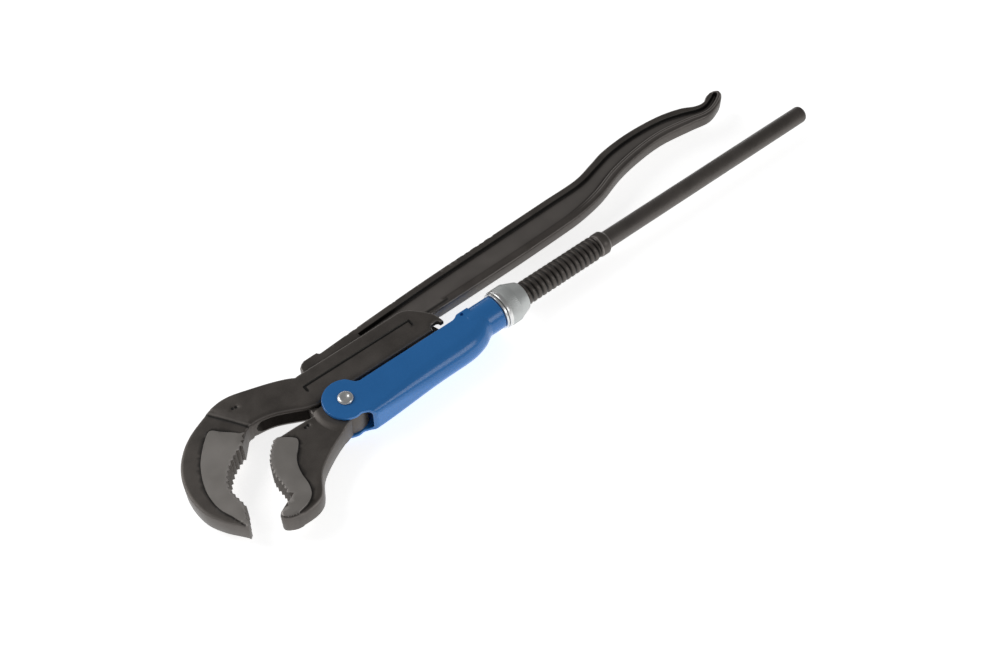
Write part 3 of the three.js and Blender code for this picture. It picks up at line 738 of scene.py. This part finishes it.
def sheet_housing():
    piece = channel_bar("painted_housing", CHEEK_OUT, back_stations(-30, 0), 30)
    hollow = channel_bar("hollow", CHEEK_OUT - SHEET, back_stations(-40, SHEET), 40)
    piece = combine(piece, hollow, "DIFFERENCE")
    piece = combine(piece, solid_of("side", housing_side(), -20, 20), "INTERSECT")
    tail = [(TAIL_START, TAIL_R - 1), (TAIL_START + 3, TAIL_R), (TAIL_END - 0.3, TAIL_R),
            (TAIL_END, TAIL_R - 0.3)]
    piece = combine(piece, turned("tail", tail), "UNION")
    bore = [(TAIL_START - 1, NUT_NECK_R + GAP), (TAIL_END + 1, NUT_NECK_R + GAP)]
    piece = combine(piece, turned("bore", bore), "DIFFERENCE")
    rivet_hole = turned("rivet_hole", [(-30, RIVET_HOLE_R), (30, RIVET_HOLE_R)], 48, axis="Z")
    piece = combine(piece, rivet_hole, "DIFFERENCE")
    remesh = piece.modifiers.new("even", "REMESH")
    remesh.mode, remesh.voxel_size = "VOXEL", HOUSING_VOXEL * MM
    smooth = piece.modifiers.new("round", "SMOOTH")
    smooth.factor, smooth.iterations = 0.5, 12
    thin = piece.modifiers.new("thin", "DECIMATE")
    thin.ratio = 0.35
    apply_modifiers(piece)
    groove = turned("ring_groove", [(RING_GROOVE_START, RING_GROOVE_R), (RING_GROOVE_END, RING_GROOVE_R)])
    piece = combine(piece, groove, "DIFFERENCE")
    for high in (CHEEK_OUT - 1.4, -CHEEK_OUT - 1):
        eye = solid_of("eye", arc(LIP_EYE_X, LIP_EYE_Y, LIP_EYE_R, 0, 345, 23), high, high + 2.4)
        piece = combine(piece, eye, "DIFFERENCE")
    soften(piece, 60)
    return piece


# ---- nut, washer and rivet -----------------------------------------------------------------------------

def nut():
    sides = 288
    knurls = 72
    profile = [(NUT_NECK_START, NUT_BORE_R, 0), (NUT_NECK_START, NUT_NECK_R, 0), (NUT_START, NUT_NECK_R, 0),
               (NUT_START, NUT_R - 0.5, 0), (NUT_START + 0.5, NUT_R - 0.1, 0),
               (NUT_SHOULDER - 0.5, NUT_R - 0.1, 0), (NUT_SHOULDER, NUT_R - 0.35, 0),
               (NUT_SHOULDER + 0.4, NUT_R - 0.3, 0.3), (NUT_SHOULDER + 0.9, NUT_R, 1),
               (NUT_BODY_END - 0.8, NUT_R, 1), (NUT_BODY_END, NUT_R - 0.05, 0.3),
               (NUT_BODY_END + 0.8, NUT_R - 0.45, 0), (NUT_END - 0.6, NUT_TIP_R + 0.2, 0),
               (NUT_END - 0.15, NUT_TIP_R - 0.1, 0), (NUT_END, NUT_TIP_R - 0.4, 0), (NUT_END, NUT_BORE_R, 0),
               (NUT_NECK_START, NUT_BORE_R, 0)]
    points, faces = [], []
    for x, r, share in profile:
        for k in range(sides):
            a = 2 * math.pi * k / sides
            cut = 0.2 * share * (0.5 - 0.5 * math.cos(a * knurls))
            points.append((x, (r - cut) * math.cos(a), (r - cut) * math.sin(a)))
    for i in range(len(profile) - 1):
        for k in range(sides):
            j = (k + 1) % sides
            faces.append((i * sides + k, i * sides + j, (i + 1) * sides + j, (i + 1) * sides + k))
    return add_mesh("knurled_nut", points, faces)


def thrust_ring():
    low, high = TAIL_END + GAP, NUT_START - GAP
    inner, outer = NUT_NECK_R + GAP, THRUST_RING_R
    return turned("pale_ring", [(low, inner), (low, outer - 0.3), (low + 0.3, outer), (high - 0.3, outer),
                                (high, outer - 0.3), (high, inner), (low, inner)])


def rivet():
    low, top = CHEEK_OUT + GAP, CHEEK_OUT + GAP + RIVET_HEAD
    far = -(CHEEK_OUT + GAP + WASHER_THICK + GAP)
    profile = [(far - 1.0, 3.6), (far - 0.85, 4.7), (far - 0.3, 5.25), (far, 5.2), (far, 4.2), (low, 4.2),
               (low, 5.2), (low + 0.25, 5.3), (low + 0.75, 5.15), (low + 1.2, 4.6), (top - 0.08, 3.9),
               (top, 3.2), (top - 0.1, 2.5), (top - 0.45, 1.6), (top - 0.6, 0.7), (top - 0.62, 0.05)]
    return turned("rivet", profile, 72, axis="Z")


# ---- shader groups -------------------------------------------------------------------------------------

def new_group(name, inputs, outputs):
    group = bpy.data.node_groups.new(name, "ShaderNodeTree")
    for label, kind, default in inputs:
        socket = group.interface.new_socket(label, in_out="INPUT", socket_type=kind)
        socket.default_value = default
    for label, kind in outputs:
        group.interface.new_socket(label, in_out="OUTPUT", socket_type=kind)
    return group, group.nodes.new("NodeGroupInput"), group.nodes.new("NodeGroupOutput")


def speckle_group():
    """Fine and broad unevenness of a metal skin: two colours mixed, and a height."""
    group, given, out = new_group(
        "skin_speckle",
        [("Light", "NodeSocketColor", (0.5, 0.5, 0.5, 1)), ("Dark", "NodeSocketColor", (0.1, 0.1, 0.1, 1)),
         ("Fine Scale", "NodeSocketFloat", 1800.0), ("Broad Scale", "NodeSocketFloat", 60.0)],
        [("Color", "NodeSocketColor"), ("Height", "NodeSocketFloat"), ("Cloud", "NodeSocketFloat")])
    nodes, links = group.nodes, group.links
    place_in = nodes.new("ShaderNodeTexCoord")
    fine, broad = nodes.new("ShaderNodeTexNoise"), nodes.new("ShaderNodeTexNoise")
    fine.inputs["Detail"].default_value, broad.inputs["Detail"].default_value = 3.0, 4.0
    for noise, label in ((fine, "Fine Scale"), (broad, "Broad Scale")):
        links.new(place_in.outputs["Object"], noise.inputs["Vector"])
        links.new(given.outputs[label], noise.inputs["Scale"])
    share = nodes.new("ShaderNodeMapRange")
    share.inputs["From Min"].default_value, share.inputs["From Max"].default_value = 0.35, 0.65
    blend = nodes.new("ShaderNodeMath")
    blend.operation = "MULTIPLY_ADD"
    blend.inputs[1].default_value = 0.35
    half = nodes.new("ShaderNodeMath")
    half.operation = "MULTIPLY"
    half.inputs[1].default_value = 0.65
    links.new(broad.outputs["Fac"], half.inputs[0])
    links.new(fine.outputs["Fac"], blend.inputs[0])
    links.new(half.outputs[0], blend.inputs[2])
    links.new(blend.outputs[0], share.inputs["Value"])
    mix = nodes.new("ShaderNodeMix")
    mix.data_type = "RGBA"
    links.new(share.outputs["Result"], mix.inputs["Factor"])
    links.new(given.outputs["Dark"], mix.inputs["A"])
    links.new(given.outputs["Light"], mix.inputs["B"])
    links.new(mix.outputs["Result"], out.inputs["Color"])
    links.new(fine.outputs["Fac"], out.inputs["Height"])
    links.new(broad.outputs["Fac"], out.inputs["Cloud"])
    return group


def shade_and_highlight_group():
    """Paints shade into marked recesses and highlights onto marked edges, from the values that mark() leaves
    on the mesh.
    """
    group, given, out = new_group(
        "painted_shade_and_highlight",
        [("Color", "NodeSocketColor", (0.1, 0.1, 0.1, 1)),
         ("Recess", "NodeSocketColor", (0.01, 0.01, 0.01, 1)),
         ("Edge", "NodeSocketColor", (0.3, 0.3, 0.3, 1))],
        [("Color", "NodeSocketColor"), ("Recess Mask", "NodeSocketFloat")])
    nodes, links = group.nodes, group.links
    colour = given.outputs["Color"]
    # shine carries the painted highlight, hollow the painted shade
    for name, label in (("shine", "Edge"), ("hollow", "Recess")):
        value = nodes.new("ShaderNodeAttribute")
        value.attribute_name = name
        mix = nodes.new("ShaderNodeMix")
        mix.data_type = "RGBA"
        links.new(value.outputs["Fac"], mix.inputs["Factor"])
        links.new(colour, mix.inputs["A"])
        links.new(given.outputs[label], mix.inputs["B"])
        colour = mix.outputs["Result"]
    links.new(colour, out.inputs["Color"])
    links.new(value.outputs["Fac"], out.inputs["Recess Mask"])
    return group


SPECKLE = speckle_group()
SHADE_AND_HIGHLIGHT = shade_and_highlight_group()


# ---- materials -----------------------------------------------------------------------------------------

def metal_skin(name, light, dark, metallic, rough, rough_spread, bump, fine=1800.0, broad=60.0, edge=None):
    """A speckled metal or paint skin. edge is the colour of the painted highlight on marked edges; marked
    recesses get painted shade, nearly black.
    """
    material = bpy.data.materials.new(name)
    material.use_nodes = True
    nodes, links = material.node_tree.nodes, material.node_tree.links
    shader = nodes["Principled BSDF"]
    shader.inputs["Metallic"].default_value = metallic
    speckle = nodes.new("ShaderNodeGroup")
    speckle.node_tree = SPECKLE
    speckle.inputs["Light"].default_value = (*light, 1)
    speckle.inputs["Dark"].default_value = (*dark, 1)
    speckle.inputs["Fine Scale"].default_value = fine
    speckle.inputs["Broad Scale"].default_value = broad
    colour = speckle.outputs["Color"]
    if edge:
        shade_and_highlight_node = nodes.new("ShaderNodeGroup")
        shade_and_highlight_node.node_tree = SHADE_AND_HIGHLIGHT
        shade_and_highlight_node.inputs["Edge"].default_value = (*edge, 1)
        # painted shade: near-black colour for the marked recesses
        shade_and_highlight_node.inputs["Recess"].default_value = (0.011, 0.010, 0.009, 1)
        links.new(colour, shade_and_highlight_node.inputs["Color"])
        colour = shade_and_highlight_node.outputs["Color"]
    links.new(colour, shader.inputs["Base Color"])
    spread = nodes.new("ShaderNodeMapRange")
    spread.inputs["From Min"].default_value, spread.inputs["From Max"].default_value = 0.3, 0.7
    spread.inputs["To Min"].default_value = rough - rough_spread
    spread.inputs["To Max"].default_value = rough + rough_spread
    links.new(speckle.outputs["Cloud"], spread.inputs["Value"])
    links.new(spread.outputs["Result"], shader.inputs["Roughness"])
    grain = nodes.new("ShaderNodeBump")
    grain.inputs["Strength"].default_value = bump
    grain.inputs["Distance"].default_value = 0.00006
    links.new(speckle.outputs["Height"], grain.inputs["Height"])
    links.new(grain.outputs["Normal"], shader.inputs["Normal"])
    return material


# the edge colours of these two skins are painted highlights on the marked edges
FORGED = metal_skin("phosphated_forging", (0.125, 0.110, 0.098), (0.080, 0.070, 0.062), 0.45, 0.42, 0.07,
                    0.35, edge=(0.36, 0.33, 0.31))
GROUND = metal_skin("ground_jaw_face", (0.36, 0.335, 0.315), (0.29, 0.27, 0.25), 0.5, 0.42, 0.06, 0.2,
                    fine=2600.0, edge=(0.5, 0.47, 0.45))
LACQUER = metal_skin("blue_lacquer", (0.030, 0.215, 0.60), (0.024, 0.190, 0.54), 0.0, 0.22, 0.03, 0.05,
                     fine=900.0, broad=30.0)
ZINC = metal_skin("dull_zinc", (0.66, 0.68, 0.67), (0.55, 0.57, 0.56), 0.55, 0.42, 0.05, 0.2)
BRIGHT = metal_skin("turned_steel", (0.86, 0.86, 0.85), (0.74, 0.74, 0.73), 0.9, 0.3, 0.05, 0.03)
SPRING = metal_skin("black_spring_steel", (0.06, 0.062, 0.068), (0.035, 0.036, 0.04), 0.8, 0.38, 0.05, 0.2)
BRONZE = metal_skin("bearing_bronze", (0.48, 0.31, 0.13), (0.36, 0.22, 0.09), 0.9, 0.42, 0.06, 0.2)


def mark(piece, marks):
    """Leaves two values on each vertex: hollow, painted shade in recesses, grooves and punch marks, and
    shine, painted highlight on edges and ridges.
    """
    points = np.array([v.co for v in piece.data.vertices])
    for name, values in zip(("hollow", "shine"), marks((points - np.array(PIVOT)) / MM)):
        layer = piece.data.attributes.new(name, "FLOAT", "POINT")
        layer.data.foreach_set("value", values.astype(np.float32))


def coat(piece, material):
    piece.data.materials.clear()
    piece.data.materials.append(material)


def coat_where(piece, material, test):
    """A second material on the faces whose middle, in millimetres about the pivot, passes the test."""
    piece.data.materials.append(material)
    slot = len(piece.data.materials) - 1
    middle = np.array([p.center for p in piece.data.polygons])
    normal = np.array([p.normal for p in piece.data.polygons])
    chosen = test((middle - np.array(PIVOT)) / MM, normal)
    for polygon, hit in zip(piece.data.polygons, chosen):
        if hit:
            polygon.material_index = slot


# ---- assembly ------------------------------------------------------------------------------------------

def stand_in(piece, node, body, material):
    coat(piece, material)
    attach(piece, body)
    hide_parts(node)
    return piece


lever = stand_in(lower_lever(), "handle_forging", "lower_lever", FORGED)
LOWER_PAD_AREA = pad_region(LOWER_PAD, LOWER_BEYOND)
coat_where(lever, GROUND, lambda p, n: inside(p[:, :2], LOWER_PAD_AREA) & (np.abs(p[:, 2]) > PAD_HALF - 0.3))
mark(lever, lever_marks)

jaw = stand_in(hook(), "hook_jaw", "hook", FORGED)
HOOK_PAD_AREA = pad_region(HOOK_PAD, HOOK_BEYOND)
coat_where(jaw, GROUND, lambda p, n: inside(p[:, :2], HOOK_PAD_AREA) & (np.abs(p[:, 2]) > PAD_HALF - 0.3)
           & (p[:, 0] < -60))
mark(jaw, hook_marks)

rod = stand_in(threaded_rod(), "threaded_rod", "hook", FORGED)
mark(rod, rod_marks)
stand_in(sheet_housing(), "housing", "housing", LACQUER)
knurled = stand_in(nut(), "adjusting_nut", "nut", ZINC)
coat_where(knurled, BRIGHT, lambda p, n: p[:, 0] < NUT_SHOULDER)
stand_in(thrust_ring(), "thrust_washer", "housing", BRIGHT)
stand_in(rivet(), "pivot_rivet", "housing", BRIGHT)

for node, material in (("coupling_pin", SPRING), ("leaf_spring", SPRING), ("nut_ring", SPRING),
                       ("rivet_washer", BRIGHT), ("pivot_bush", BRONZE)):
    coat(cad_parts[node], material)

# ---- floor, light and camera ---------------------------------------------------------------------------

FLOOR_HALF = 6.0
FLOOR_DROP = 0.0004
FLOOR_GLOW = 0.74  # the ground is a little self-lit, so that shadows on it stay faint


def pale_floor():
    mesh = bpy.data.meshes.new("floor")
    z = CAD_BOX[0].z - FLOOR_DROP
    corners = [(-FLOOR_HALF, -FLOOR_HALF, z), (FLOOR_HALF, -FLOOR_HALF, z), (FLOOR_HALF, FLOOR_HALF, z),
               (-FLOOR_HALF, FLOOR_HALF, z)]
    mesh.from_pydata(corners, [], [(0, 1, 2, 3)])
    floor = bpy.data.objects.new("floor", mesh)
    bpy.context.scene.collection.objects.link(floor)
    paper = bpy.data.materials.new("white_paper")
    paper.use_nodes = True
    shader = paper.node_tree.nodes["Principled BSDF"]
    shader.inputs["Base Color"].default_value = (0.93, 0.93, 0.93, 1)
    shader.inputs["Roughness"].default_value = 0.9
    shader.inputs["Specular IOR Level"].default_value = 0.1
    shader.inputs["Emission Color"].default_value = (1, 1, 1, 1)
    shader.inputs["Emission Strength"].default_value = FLOOR_GLOW
    coat(floor, paper)


def softbox(name, place_at, aim, size, power):
    light = bpy.data.lights.new(name, "AREA")
    light.shape, light.size, light.energy = "SQUARE", size, power
    lamp = bpy.data.objects.new(name, light)
    bpy.context.scene.collection.objects.link(lamp)
    lamp.location = place_at
    lamp.rotation_euler = (Vector(aim) - Vector(place_at)).to_track_quat("-Z", "Y").to_euler()


def studio():
    middle = (CAD_BOX[0] + CAD_BOX[1]) / 2
    softbox("front", middle + Vector((0.45, -1.0, 0.62)), middle, 0.5, 2.0)
    softbox("rear", middle + Vector((-0.7, 0.9, 0.9)), middle, 0.9, 7)
    world = bpy.data.worlds.new("studio")
    bpy.context.scene.world = world
    world.use_nodes = True
    nodes, links = world.node_tree.nodes, world.node_tree.links
    nodes["Background"].inputs["Color"].default_value = (1, 1, 1, 1)
    direction, split = nodes.new("ShaderNodeTexCoord"), nodes.new("ShaderNodeSeparateXYZ")
    height = nodes.new("ShaderNodeMapRange")
    height.interpolation_type = "SMOOTHSTEP"
    height.inputs["From Min"].default_value, height.inputs["From Max"].default_value = 0.05, 0.55
    height.inputs["To Min"].default_value, height.inputs["To Max"].default_value = 0.34, 0.2
    links.new(direction.outputs["Generated"], split.inputs["Vector"])
    links.new(split.outputs["Z"], height.inputs["Value"])
    links.new(height.outputs["Result"], nodes["Background"].inputs["Strength"])
    bpy.context.scene.view_settings.view_transform = "Standard"


CAMERA_FROM_PIVOT = Vector((-0.2542, -0.45735, 0.73664))
CAMERA_PITCH = 52.0  # degrees below the horizon
CAMERA_TURN = -39.95  # degrees, 0 looks along +Y


def camera():
    lens = bpy.data.cameras.new("camera")
    lens.lens, lens.sensor_width = 50, 36
    lens.clip_start, lens.clip_end = 0.01, 50
    holder = bpy.data.objects.new("camera", lens)
    bpy.context.scene.collection.objects.link(holder)
    holder.location = PIVOT + CAMERA_FROM_PIVOT
    turn, pitch = math.radians(CAMERA_TURN), math.radians(CAMERA_PITCH)
    look = Vector((-math.sin(turn) * math.cos(pitch), math.cos(turn) * math.cos(pitch), -math.sin(pitch)))
    holder.rotation_euler = look.to_track_quat("-Z", "Y").to_euler()
    bpy.context.scene.camera = holder


pale_floor()
studio()
camera()
